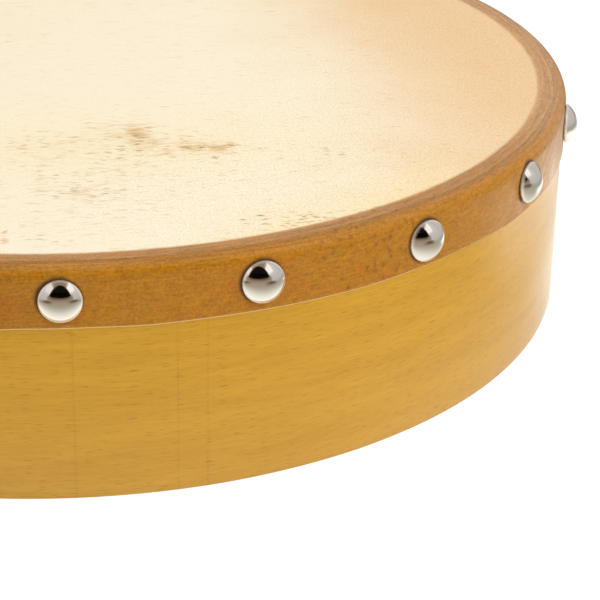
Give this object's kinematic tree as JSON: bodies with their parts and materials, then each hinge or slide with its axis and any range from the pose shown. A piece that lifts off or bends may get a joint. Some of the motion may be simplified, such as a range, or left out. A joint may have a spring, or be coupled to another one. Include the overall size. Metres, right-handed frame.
{
  "type": "hand drum",
  "caption": "Shallow round hand drum: a laminated wooden shell, open underneath, with a goatskin head drawn over its rounded edge and held by a ring of domed nails.",
  "frame": {"origin": "middle of the ring that the drum stands on, at the shell's open edge", "axes": "+Z along the shell's axis, from the open edge to the playing face; -Y through the first nail"},
  "size_m": [0.2614, 0.2604, 0.0535],
  "materials": {
    "shell_wood": "clear gloss lacquer over golden plywood",
    "goatskin": "natural cream goatskin, dried hard, with a low sheen",
    "chrome_nails": "polished chrome plate"
  },
  "bodies": {
    "root": {"outer_ply": "shell_wood", "core_ply": "shell_wood", "inner_ply": "shell_wood", "head": "goatskin", "nail_01": "chrome_nails", "nail_02": "chrome_nails", "nail_03": "chrome_nails", "nail_04": "chrome_nails", "nail_05": "chrome_nails", "nail_06": "chrome_nails", "nail_07": "chrome_nails", "nail_08": "chrome_nails", "nail_09": "chrome_nails", "nail_10": "chrome_nails", "nail_11": "chrome_nails", "nail_12": "chrome_nails", "nail_13": "chrome_nails", "nail_14": "chrome_nails", "nail_15": "chrome_nails", "nail_16": "chrome_nails", "nail_17": "chrome_nails", "nail_18": "chrome_nails", "nail_19": "chrome_nails"}
  },
  "joints": []
}
